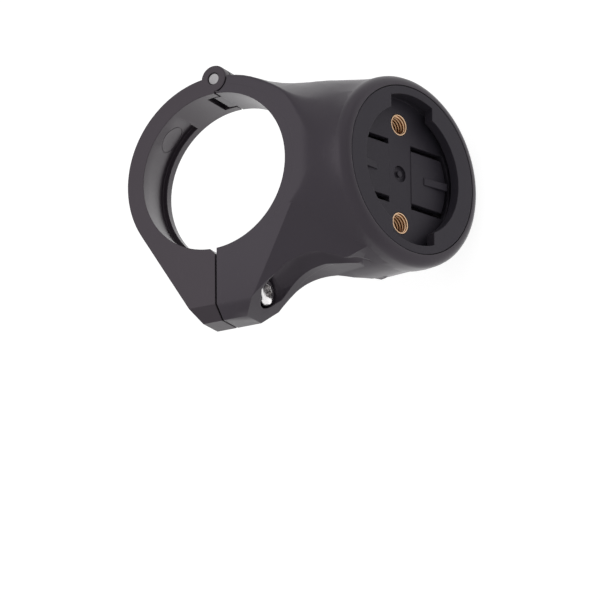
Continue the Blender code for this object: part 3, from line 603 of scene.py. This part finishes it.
class ShapeTrees:
    """Geometry node trees for what repeats: thread ridges and knurled ribs."""

    HELIX_STEPS = 28
    RIDGE_SIDES = 4
    RIB_SIDES = 4

    def __init__(self) -> None:
        """Build both trees once."""
        self.thread = self._thread()
        self.knurl = self._knurl()

    @staticmethod
    def _start(name: str, sizes: dict[str, float]) -> tuple[bpy.types.NodeTree, NodeSheet, bpy.types.Node]:
        """Make an empty geometry tree with named sizes.

        Args:
            name: The tree's name.
            sizes: Default values by input name.

        Returns:
            The tree, its sheet and its input node.
        """
        tree = bpy.data.node_groups.new(name, "GeometryNodeTree")
        tree.interface.new_socket("Geometry", in_out="INPUT", socket_type="NodeSocketGeometry")
        tree.interface.new_socket("Material", in_out="INPUT", socket_type="NodeSocketMaterial")
        for label, value in sizes.items():
            socket = tree.interface.new_socket(label, in_out="INPUT", socket_type="NodeSocketFloat")
            socket.default_value = value
        tree.interface.new_socket("Geometry", in_out="OUTPUT", socket_type="NodeSocketGeometry")
        sheet = NodeSheet(tree)
        return tree, sheet, sheet.add("NodeGroupInput")

    @staticmethod
    def _end(sheet: NodeSheet, source: bpy.types.Node, geometry: bpy.types.NodeSocket) -> None:
        """Close a tree with Realize Instances and Set Material.

        Args:
            sheet: The tree's sheet.
            source: The tree's input node.
            geometry: The output that holds the finished shape.
        """
        real = sheet.add("GeometryNodeRealizeInstances")
        dress = sheet.add("GeometryNodeSetMaterial")
        result = sheet.add("NodeGroupOutput")
        sheet.link(geometry, real.inputs[0])
        sheet.link(real.outputs[0], dress.inputs["Geometry"])
        sheet.link(source.outputs["Material"], dress.inputs["Material"])
        sheet.link(dress.outputs["Geometry"], result.inputs[0])

    def _thread(self) -> bpy.types.NodeTree:
        """Build a helical ridge about the Z axis.

        Returns:
            The tree, with inputs Radius, Turns, Length and Ridge.
        """
        sizes = {"Radius": 1.3 * MM, "Turns": 10.0, "Length": 5 * MM, "Ridge": 0.2 * MM}
        tree, sheet, source = self._start("thread_ridge", sizes)
        helix = sheet.add("GeometryNodeCurveSpiral")
        helix.inputs["Resolution"].default_value = self.HELIX_STEPS
        for name in ("Start Radius", "End Radius"):
            sheet.link(source.outputs["Radius"], helix.inputs[name])
        sheet.link(source.outputs["Turns"], helix.inputs["Rotations"])
        sheet.link(source.outputs["Length"], helix.inputs["Height"])
        upright = sheet.add("GeometryNodeSetCurveNormal")
        upright.mode = "Z_UP"
        sheet.link(helix.outputs["Curve"], upright.inputs["Curve"])
        profile = sheet.add("GeometryNodeCurvePrimitiveCircle")
        profile.inputs["Resolution"].default_value = self.RIDGE_SIDES
        sheet.link(source.outputs["Ridge"], profile.inputs["Radius"])
        sweep = sheet.add("GeometryNodeCurveToMesh")
        sweep.inputs["Fill Caps"].default_value = True
        sheet.link(upright.outputs["Curve"], sweep.inputs["Curve"])
        sheet.link(profile.outputs["Curve"], sweep.inputs["Profile Curve"])
        self._end(sheet, source, sweep.outputs["Mesh"])
        return tree

    def _knurl(self) -> bpy.types.NodeTree:
        """Build a ring of straight ribs about the Z axis.

        Returns:
            The tree, with inputs Radius, Count, Length and Rib.
        """
        sizes = {"Radius": 2.7 * MM, "Count": 40.0, "Length": 2 * MM, "Rib": 0.12 * MM}
        tree, sheet, source = self._start("knurled_ribs", sizes)
        ring = sheet.add("GeometryNodeCurvePrimitiveCircle")
        sheet.link(source.outputs["Radius"], ring.inputs["Radius"])
        points = sheet.add("GeometryNodeCurveToPoints", mode="COUNT")
        sheet.link(ring.outputs["Curve"], points.inputs["Curve"])
        sheet.link(source.outputs["Count"], points.inputs["Count"])
        rib = sheet.add("GeometryNodeMeshCone")
        rib.inputs["Vertices"].default_value = self.RIB_SIDES
        for name in ("Radius Top", "Radius Bottom"):
            sheet.link(source.outputs["Rib"], rib.inputs[name])
        sheet.link(source.outputs["Length"], rib.inputs["Depth"])
        across = sheet.add("FunctionNodeAlignRotationToVector", axis="X")
        place = sheet.add("GeometryNodeInputPosition")
        sheet.link(place.outputs[0], across.inputs["Vector"])
        copies = sheet.add("GeometryNodeInstanceOnPoints")
        sheet.link(points.outputs["Points"], copies.inputs["Points"])
        sheet.link(rib.outputs["Mesh"], copies.inputs["Instance"])
        sheet.link(across.outputs[0], copies.inputs["Rotation"])
        self._end(sheet, source, copies.outputs["Instances"])
        return tree

    @staticmethod
    def grow(
        tree: bpy.types.NodeTree,
        name: str,
        material: bpy.types.Material,
        place: Matrix,
        **sizes: float,
    ) -> bpy.types.Object:
        """Run a tree and return its result as a plain mesh piece.

        Args:
            tree: The geometry tree.
            name: The piece's name.
            material: Its finish.
            place: The matrix from the tree's axes to the frame.
            **sizes: Values of the tree's inputs by name.

        Returns:
            The piece, at the origin, with its place in its mesh.
        """
        piece = Forge.place(name, bpy.data.meshes.new(name), material)
        modifier = piece.modifiers.new(tree.name, "NODES")
        modifier.node_group = tree
        sockets = tree.interface.items_tree
        inputs = {item.name: item.identifier for item in sockets if item.in_out == "INPUT"}
        modifier[inputs["Material"]] = material
        for label, value in sizes.items():
            modifier[inputs[label]] = value
        Forge.settle(piece)
        piece.data.transform(place)
        piece.data.materials.clear()
        piece.data.materials.append(material)
        return piece


class Palette:
    """Every finish of the mount, built once."""

    def __init__(self, effects: SharedEffects) -> None:
        """Build the materials.

        Args:
            effects: The shared node groups.
        """
        self.body = MouldedPlastic(
            "body_plastic",
            colour=(0.0325, 0.0272, 0.0362),
            scuff_and_highlight_colour=(0.058, 0.050, 0.060),
        ).build(effects)
        self.arm = MouldedPlastic(
            "arm_plastic",
            colour=(0.0355, 0.0280, 0.0355),
            scuff_and_highlight_colour=(0.060, 0.051, 0.060),
        ).build(effects)
        # The plate takes the body's plastic darker and less glossy; its darker colour is painted shade on
        # the plate's face.
        self.socket = MouldedPlastic(
            "socket_plate_shaded_plastic",
            colour=(0.0250, 0.0228, 0.0305),
            scuff_and_highlight_colour=(0.045, 0.041, 0.050),
            roughness=0.5,
            gloss=0.3,
            grain_depth=0.024 * MM,
        ).build(effects)
        self.pin = TurnedMetal(
            "pin_steel",
            colour=(0.42, 0.41, 0.42),
            stain_colour=(0.30, 0.29, 0.30),
            roughness=0.42,
        ).build(effects)
        self.nut = TurnedMetal(
            "nut_steel",
            colour=(0.60, 0.59, 0.58),
            stain_colour=(0.42, 0.41, 0.40),
            roughness=0.3,
        ).build(effects)
        self.screw = TurnedMetal(
            "screw_stainless",
            colour=(0.86, 0.85, 0.85),
            stain_colour=(0.74, 0.72, 0.72),
            roughness=0.2,
            ring_depth=0.002 * MM,
            place=Matrix.Translation((0, SCREW_AXIS_Y, 0)) @ Matrix.Rotation(math.pi / 2, 4, "Y"),
        ).build(effects)
        self.brass = TurnedMetal(
            "insert_brass",
            colour=(0.80, 0.58, 0.38),
            stain_colour=(0.62, 0.40, 0.26),
            roughness=0.22,
        ).build(effects)


@dataclass(frozen=True)
class TaperedRelief:
    """The hollow inside the arm, flush at its upper edge and deepest at the lower lip."""

    bore: float = 16.5 * MM
    depth: float = 1.0 * MM
    upper: float = 3.0 * MM
    lower: float = -3.8 * MM
    start: float = math.radians(123.75)
    end: float = math.radians(232.5)
    reach: float = 1.0 * MM
    steps: int = 29
    solid_radius: float = 18.1 * MM
    solid_upper: float = 2.4 * MM
    solid_lower: float = -3.2 * MM
    near: float = 0.06 * MM
    mark_angle: float = math.radians(140.3)
    mark_height: float = 0.3 * MM
    mark_radius: float = 2.9 * MM
    mark_half_width: float = 0.11 * MM
    mark_depth: float = 0.09 * MM
    mark_taper: float = 0.4
    mark_steps: int = 56

    def surface(self, height: float) -> float:
        """Return the radius of the hollow's sloping wall at a height."""
        return self.bore + self.depth * max(0.0, self.upper - height) / (self.upper - self.lower)

    def shallow(self, shape: bmesh.types.BMesh) -> None:
        """Pull the solid's plain hollow in, so that the tapered cut takes all of it.

        Args:
            shape: The arm's mesh.
        """
        for vert in shape.verts:
            radius = math.hypot(vert.co.x, vert.co.y)
            if abs(radius - self.solid_radius) > self.near or vert.co.x > 0:
                continue
            if abs(vert.co.z - self.solid_upper) < self.near:
                share = (self.bore + self.near) / radius
            elif abs(vert.co.z - self.solid_lower) < self.near:
                share = (self.bore + self.depth / 2) / radius
            else:
                continue
            vert.co.x *= share
            vert.co.y *= share

    def wedge(self, material: bpy.types.Material) -> bpy.types.Object:
        """Build the ring segment with a wedge-shaped section that cuts the tapered hollow.

        Args:
            material: Any material; the cutter is deleted after use.

        Returns:
            The cutter.
        """
        slope = self.depth / (self.upper - self.lower)
        inner = self.bore - self.reach
        section = [
            (inner, self.upper + self.reach / slope),
            (self.bore + self.depth, self.lower),
            (inner, self.lower),
        ]
        rows = []
        for i in range(self.steps + 1):
            angle = self.start + (self.end - self.start) * i / self.steps
            rows.append([(r * math.cos(angle), r * math.sin(angle), z) for r, z in section])
        return Forge.place("relief_wedge", Forge.swept("relief_wedge", rows, closed=False), material)

    def witness(self, material: bpy.types.Material) -> bpy.types.Object:
        """Build the round cutter for the thin groove that a mould pin leaves on the wall.

        Args:
            material: Any material; the cutter is deleted after use.

        Returns:
            The cutter.
        """
        wide, deep = self.mark_half_width, self.mark_depth
        narrow = wide * self.mark_taper
        section = [(-wide, -deep), (wide, -deep), (narrow, deep), (-narrow, deep)]
        rows = []
        for i in range(self.mark_steps):
            turn = math.tau * i / self.mark_steps
            row = []
            for offset, sink in section:
                reach = self.mark_radius + offset
                height = self.mark_height + reach * math.sin(turn)
                angle = self.mark_angle + reach * math.cos(turn) / self.bore
                radius = self.surface(height) + sink
                row.append((radius * math.cos(angle), radius * math.sin(angle), height))
            rows.append(row)
        return Forge.place("witness_groove", Forge.swept("witness_groove", rows, closed=True), material)


@dataclass
class MouldedPiece:
    """A moulded solid, copied with smooth shading."""

    node: str
    name: str
    body: Body
    slot: Slot
    merge: float = 0.002 * MM
    flat: float = math.radians(0.4)
    sharp: float = math.radians(38)
    relief: TaperedRelief | None = None

    def build(self, frame: dict, material: bpy.types.Material) -> bpy.types.Object:
        """Copy the node's mesh, merge it and give it weighted normals.

        Args:
            material: The plastic.

        Returns:
            The piece that stands for the node.
        """
        source = frame["nodes"][self.node]
        shape = bmesh.new()
        shape.from_mesh(source.data)
        bmesh.ops.remove_doubles(shape, verts=shape.verts, dist=self.merge)
        if self.relief is not None:
            self.relief.shallow(shape)
        mesh = bpy.data.meshes.new(self.name)
        shape.to_mesh(mesh)
        shape.free()
        piece = Forge.place(self.name, mesh, material)
        if self.relief is not None:
            Forge.cut(piece, self.relief.wedge(material))
            Forge.cut(piece, self.relief.witness(material))
        self._tidy(piece.data)
        Forge.smooth(piece.data, self.sharp)
        weighted = piece.modifiers.new("even_normals", "WEIGHTED_NORMAL")
        weighted.keep_sharp = True
        Forge.settle(piece)
        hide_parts(self.node)
        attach(piece, self.body.value)
        return piece

    def _tidy(self, mesh: bpy.types.Mesh) -> None:
        """Merge the flat triangles of a mesh into whole faces and drop its old normals.

        Args:
            mesh: The piece's mesh.
        """
        old_normals = mesh.attributes.get("custom_normal")
        if old_normals is not None:
            mesh.attributes.remove(old_normals)
        shape = bmesh.new()
        shape.from_mesh(mesh)
        bmesh.ops.remove_doubles(shape, verts=shape.verts, dist=self.merge)
        bmesh.ops.dissolve_limit(
            shape,
            angle_limit=self.flat,
            use_dissolve_boundaries=False,
            verts=shape.verts,
            edges=shape.edges,
        )
        shape.to_mesh(mesh)
        shape.free()


@dataclass
class CapScrew:
    """The stainless socket cap screw in the lug."""

    axis_y: float = SCREW_AXIS_Y
    seat_x: float = 6.3 * MM
    head_radius: float = 2.73 * MM
    head_height: float = 3.0 * MM
    head_round: float = 0.32 * MM
    crown: tuple[tuple[float, float], ...] = ((2.2, 0.0), (0.9, 0.4), (0.4, 0.9))
    crown_depth: float = 1.5
    core_inset: float = 0.1 * MM
    skirt: float = 0.45 * MM
    foot: float = 0.3 * MM
    foot_inset: float = 0.3 * MM
    shank_radius: float = 1.22 * MM
    length: float = 12.0 * MM
    tip: float = 0.4 * MM
    pitch: float = 0.5 * MM
    ridge: float = 0.17 * MM
    ridge_sink: float = 0.02 * MM
    thread_start: float = 0.35 * MM
    plain_length: float = 1.0 * MM
    key_flats: float = 2.5 * MM
    key_depth: float = 1.7 * MM
    key_cone: float = 0.5 * MM
    key_floor: float = 0.86
    key_above: float = 1.0 * MM
    ribs: int = 44
    rib_length: float = 1.6 * MM
    rib_size: float = 0.12 * MM
    rib_inset: float = 0.13 * MM
    steps: int = 72
    sharp: float = math.radians(32)

    def place(self) -> Matrix:
        """Return the matrix with its origin under the head and Z out of the head."""
        return Matrix.Translation((self.seat_x, self.axis_y, 0)) @ Matrix.Rotation(math.pi / 2, 4, "Y")

    def build(self, trees: ShapeTrees, material: bpy.types.Material) -> list[bpy.types.Object]:
        """Build the head with its hex recess, the shank, the thread and the knurl.

        Args:
            trees: The geometry trees.
            material: The steel.

        Returns:
            The screw's pieces.
        """
        core = self._core(material)
        Forge.cut(core, self._key(material))
        Forge.smooth(core.data, self.sharp)
        turns = (self.length - self.plain_length) / self.pitch
        thread = trees.grow(
            trees.thread,
            "screw_thread",
            material,
            self.place() @ Matrix.Translation((0, 0, -self.length + self.thread_start)),
            Radius=self.shank_radius - self.ridge_sink,
            Turns=turns,
            Length=turns * self.pitch,
            Ridge=self.ridge,
        )
        middle = (self.head_height - self.head_round * self.crown_depth + self.skirt) / 2
        ribs = trees.grow(
            trees.knurl,
            "screw_knurl",
            material,
            self.place() @ Matrix.Translation((0, 0, middle - self.rib_length / 2)),
            Radius=self.head_radius - self.rib_inset,
            Count=self.ribs,
            Length=self.rib_length,
            Rib=self.rib_size,
        )
        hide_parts("clamp_screw")
        for piece in (core, thread, ribs):
            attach(piece, Body.SCREW.value)
        return [core, thread, ribs]

    def _core(self, material: bpy.types.Material) -> bpy.types.Object:
        """Build the plain head and shank.

        Args:
            material: The steel.

        Returns:
            The core.
        """
        top, edge = self.head_height, self.head_round
        side = self.head_radius - self.core_inset
        profile = [(0.0, top)]
        profile += [(self.head_radius - edge * inward, top - edge * down) for inward, down in self.crown]
        profile += [
            (side, top - edge * self.crown_depth),
            (side, self.skirt),
            (self.head_radius - self.foot_inset, self.foot),
            (self.shank_radius, self.foot),
            (self.shank_radius, -self.length + self.tip),
            (self.shank_radius - self.tip, -self.length),
            (0.0, -self.length),
        ]
        mesh = Forge.turned("screw_core", profile, self.steps, self.place())
        return Forge.place("screw_core", mesh, material)

    def _key(self, material: bpy.types.Material) -> bpy.types.Object:
        """Build the hexagon that cuts the key's recess.

        Args:
            material: Any material; the cutter is deleted after use.

        Returns:
            The cutter.
        """
        top = self.head_height
        radius = self.key_flats / 2 / math.cos(math.pi / 6)
        profile = [
            (0.0, top - self.key_depth - self.key_cone),
            (radius * self.key_floor, top - self.key_depth),
            (radius, top - self.key_depth),
            (radius, top + self.key_above),
            (0.0, top + self.key_above),
        ]
        return Forge.place("hex_recess", Forge.turned("hex_recess", profile, 6, self.place()), material)


@dataclass
class ThreadedInsert:
    """One brass insert in the socket's floor, with its inner thread."""

    name: str
    node: str
    side: float
    spacing: float = 21.0 * MM
    front: float = -3.6 * MM
    length: float = 4.6 * MM
    radius: float = 2.25 * MM
    edge: float = 0.09 * MM
    bore: float = 1.93 * MM
    mouth_depth: float = 0.12 * MM
    mouth_width: float = 0.06 * MM
    mouth_drop: float = 0.02 * MM
    ridge: float = 0.26 * MM
    ridge_sink: float = 0.02 * MM
    pitch: float = 0.7 * MM
    thread_start: float = 0.15 * MM
    plain_length: float = 0.5 * MM
    steps: int = 64
    sharp: float = math.radians(30)

    def build(self, trees: ShapeTrees, material: bpy.types.Material) -> list[bpy.types.Object]:
        """Build the sleeve and its inner thread.

        Args:
            trees: The geometry trees.
            material: The brass.

        Returns:
            The sleeve and the thread.
        """
        place = SOCKET.matrix(depth=self.front, side=self.side * self.spacing / 2)
        end = -self.length
        profile = [
            (self.bore, end),
            (self.bore, -self.mouth_depth),
            (self.bore + self.mouth_width, -self.mouth_drop),
            (self.radius - self.edge, 0.0),
            (self.radius, -self.edge),
            (self.radius, end),
            (self.bore, end),
        ]
        mesh = Forge.turned(self.name, profile, self.steps, place)
        sleeve = Forge.place(self.name, mesh, material)
        Forge.smooth(sleeve.data, self.sharp)
        turns = (self.length - self.plain_length) / self.pitch
        thread = trees.grow(
            trees.thread,
            self.name + "_thread",
            material,
            place @ Matrix.Translation((0, 0, end + self.thread_start)),
            Radius=self.bore + self.ridge_sink,
            Turns=turns,
            Length=turns * self.pitch,
            Ridge=self.ridge,
        )
        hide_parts(self.node)
        for piece in (sleeve, thread):
            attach(piece, Body.MOUNT.value)
        return [sleeve, thread]


class SmallHardware:
    """The hinge pin and the captive nut, which keep their solids."""

    def build(self, frame: dict, palette: Palette) -> list[bpy.types.Object]:
        """Give both nodes their finish.

        Args:
            palette: The finishes.

        Returns:
            Both nodes.
        """
        dressed = []
        for name, material in (("hinge_pin", palette.pin), ("clamp_nut", palette.nut)):
            node = frame["nodes"][name]
            node.data.materials.clear()
            node.data.materials.append(material)
            dressed.append(node)
        return dressed


@dataclass
class PhotoCamera:
    """The camera at the photograph's viewing angle, fitted to the ring, head and lug."""

    right_of: tuple[float, float, float] = (0.867, -0.009, -0.498)
    up_of: tuple[float, float, float] = (0.167, 0.947, 0.274)
    towards: tuple[float, float, float] = (0.470, -0.321, 0.823)
    pixels_per_mm: float = 4.965
    origin_pixel: tuple[float, float] = (227.49, 178.59)
    distance_mm: float = 1250.0
    frame_pixels: float = 600.0
    sensor: float = 36.0
    clip: tuple[float, float] = (0.01, 20.0)

    def build(self) -> None:
        """Make the camera and make it the scene's own."""
        turn = Matrix((self.right_of, self.up_of, self.towards)).transposed()
        turn = turn.to_quaternion().to_matrix()
        middle = self.frame_pixels / 2
        shift_right = (middle - self.origin_pixel[0]) / self.pixels_per_mm
        shift_up = (self.origin_pixel[1] - middle) / self.pixels_per_mm
        spot = turn @ (Vector((shift_right, shift_up, self.distance_mm)) * MM)
        data = bpy.data.cameras.new("photo_camera")
        data.sensor_width = self.sensor
        data.lens = self.pixels_per_mm * self.distance_mm * self.sensor / self.frame_pixels
        data.clip_start, data.clip_end = self.clip
        camera = bpy.data.objects.new("photo_camera", data)
        bpy.context.scene.collection.objects.link(camera)
        camera.matrix_world = Matrix.Translation(spot) @ turn.to_4x4()
        bpy.context.scene.camera = camera


@dataclass
class Studio:
    """A white floor, a white surround and soft lamps."""

    floor_gap: float = 0.3 * MM
    floor_radius: float = 3.0
    floor_steps: int = 64
    floor_roughness: float = 0.9
    surround: float = 0.62
    floor_glow: float = 0.87
    pool_glow: float = 1.75
    pool_reach: tuple[float, float] = (38 * MM, 60 * MM)
    floor_colour: float = 0.3
    shine: float = 0.78
    key_spot: tuple[float, float, float] = (-0.064, 0.033, 0.153)
    key_size: float = 0.12
    key_power: float = 0.036
    side_spot: tuple[float, float, float] = (0.3, 0.85, 0.35)
    side_size: float = 0.5
    side_power: float = 0.2

    def build(self, lowest: float) -> None:
        """Build the floor, the world and the lamps.

        Args:
            lowest: Height of the object's lowest point.
        """
        self._floor(lowest - self.floor_gap)
        self._world()
        self._lamp("key_panel", self.key_spot, self.key_size, self.key_power)
        self._lamp("side_panel", self.side_spot, self.side_size, self.side_power)

    def _floor(self, height: float) -> None:
        """Make the floor: white apart from the shadow, and brighter in reflections under the bore.

        Args:
            height: The floor's height.
        """
        outline = [(0.0, 0.0), (self.floor_radius, 0.0)]
        mesh = Forge.turned("floor", outline, self.floor_steps, Matrix.Translation((0, 0, height)))
        material = bpy.data.materials.new("floor_white")
        material.use_nodes = True
        sheet = NodeSheet(material.node_tree)
        shader = material.node_tree.nodes["Principled BSDF"]
        shader.inputs["Base Color"].default_value = (*[self.floor_colour] * 3, 1)
        shader.inputs["Roughness"].default_value = self.floor_roughness
        rays = sheet.add("ShaderNodeLightPath")
        shader.inputs["Emission Color"].default_value = (1, 1, 1, 1)
        place = sheet.add("ShaderNodeTexCoord")
        away = sheet.add("ShaderNodeVectorMath", operation="LENGTH")
        sheet.link(place.outputs["Object"], away.inputs[0])
        pool = sheet.add("ShaderNodeMapRange")
        sheet.link(away.outputs["Value"], pool.inputs["Value"])
        pool.inputs["From Min"].default_value = self.pool_reach[0]
        pool.inputs["From Max"].default_value = self.pool_reach[1]
        pool.inputs["To Min"].default_value = self.pool_glow
        pool.inputs["To Max"].default_value = 1.0
        shiny = sheet.math("MULTIPLY", rays.outputs["Is Glossy Ray"], pool.outputs["Result"])
        seen = sheet.math("MAXIMUM", rays.outputs["Is Camera Ray"], shiny)
        sheet.link(sheet.math("MULTIPLY", seen, self.floor_glow), shader.inputs["Emission Strength"])
        floor = Forge.place("floor", mesh, material)
        floor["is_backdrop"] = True

    def _world(self) -> None:
        """Make the surround white to the camera and in reflections."""
        world = bpy.data.worlds.new("surround")
        bpy.context.scene.world = world
        world.use_nodes = True
        sheet = NodeSheet(world.node_tree)
        background = world.node_tree.nodes["Background"]
        background.inputs["Color"].default_value = (1, 1, 1, 1)
        rays = sheet.add("ShaderNodeLightPath")
        bright = sheet.math("MAXIMUM", rays.outputs["Is Camera Ray"], rays.outputs["Is Transmission Ray"])
        shiny = sheet.math("MULTIPLY", rays.outputs["Is Glossy Ray"], self.shine)
        level = sheet.math("MAXIMUM", sheet.math("MAXIMUM", bright, shiny), self.surround)
        sheet.link(level, background.inputs["Strength"])

    @staticmethod
    def _lamp(name: str, spot: tuple[float, float, float], size: float, power: float) -> None:
        """Make a square panel lamp that faces the object.

        Args:
            name: The lamp's name.
            spot: Where it stands.
            size: The length of its side.
            power: Its power in watts.
        """
        data = bpy.data.lights.new(name, "AREA")
        data.shape = "SQUARE"
        data.size = size
        data.energy = power
        lamp = bpy.data.objects.new(name, data)
        bpy.context.scene.collection.objects.link(lamp)
        place = Vector(spot)
        lamp.location = place
        lamp.rotation_mode = "QUATERNION"
        lamp.rotation_quaternion = place.to_track_quat("Z", "Y")


def report(pieces: Sequence[bpy.types.Object]) -> None:
    """Log each piece with its face count."""
    for piece in pieces:
        LOG.info("%s: %d faces", piece.name, len(piece.data.polygons))


def main() -> None:
    """Load the frame, dress the mount and finish."""
    logging.basicConfig(level=logging.INFO, format="%(name)s %(message)s")
    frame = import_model()
    solid_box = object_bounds()
    palette = Palette(SharedEffects())
    trees = ShapeTrees()
    body = MouldedPiece("main_body", "body_shell", Body.MOUNT, Slot.PLASTIC)
    arm = MouldedPiece("clamp_arm", "arm_shell", Body.ARM, Slot.PLASTIC, relief=TaperedRelief())
    socket = MouldedPiece("socket_plate", "socket_shell", Body.MOUNT, Slot.SOCKET)
    moulded = [(body, palette.body), (arm, palette.arm), (socket, palette.socket)]
    for shell, material in moulded:
        report([shell.build(frame, material)])
    report(SmallHardware().build(frame, palette))
    report(CapScrew().build(trees, palette.screw))
    for name, side in (("upper", 1.0), ("lower", -1.0)):
        insert = ThreadedInsert(f"{name}_insert", f"threaded_insert_{name}", side)
        report(insert.build(trees, palette.brass))
    PhotoCamera().build()
    Studio().build(solid_box[0].z)
    bpy.context.scene.view_settings.view_transform = "Standard"


if __name__ == "__main__":
    main()
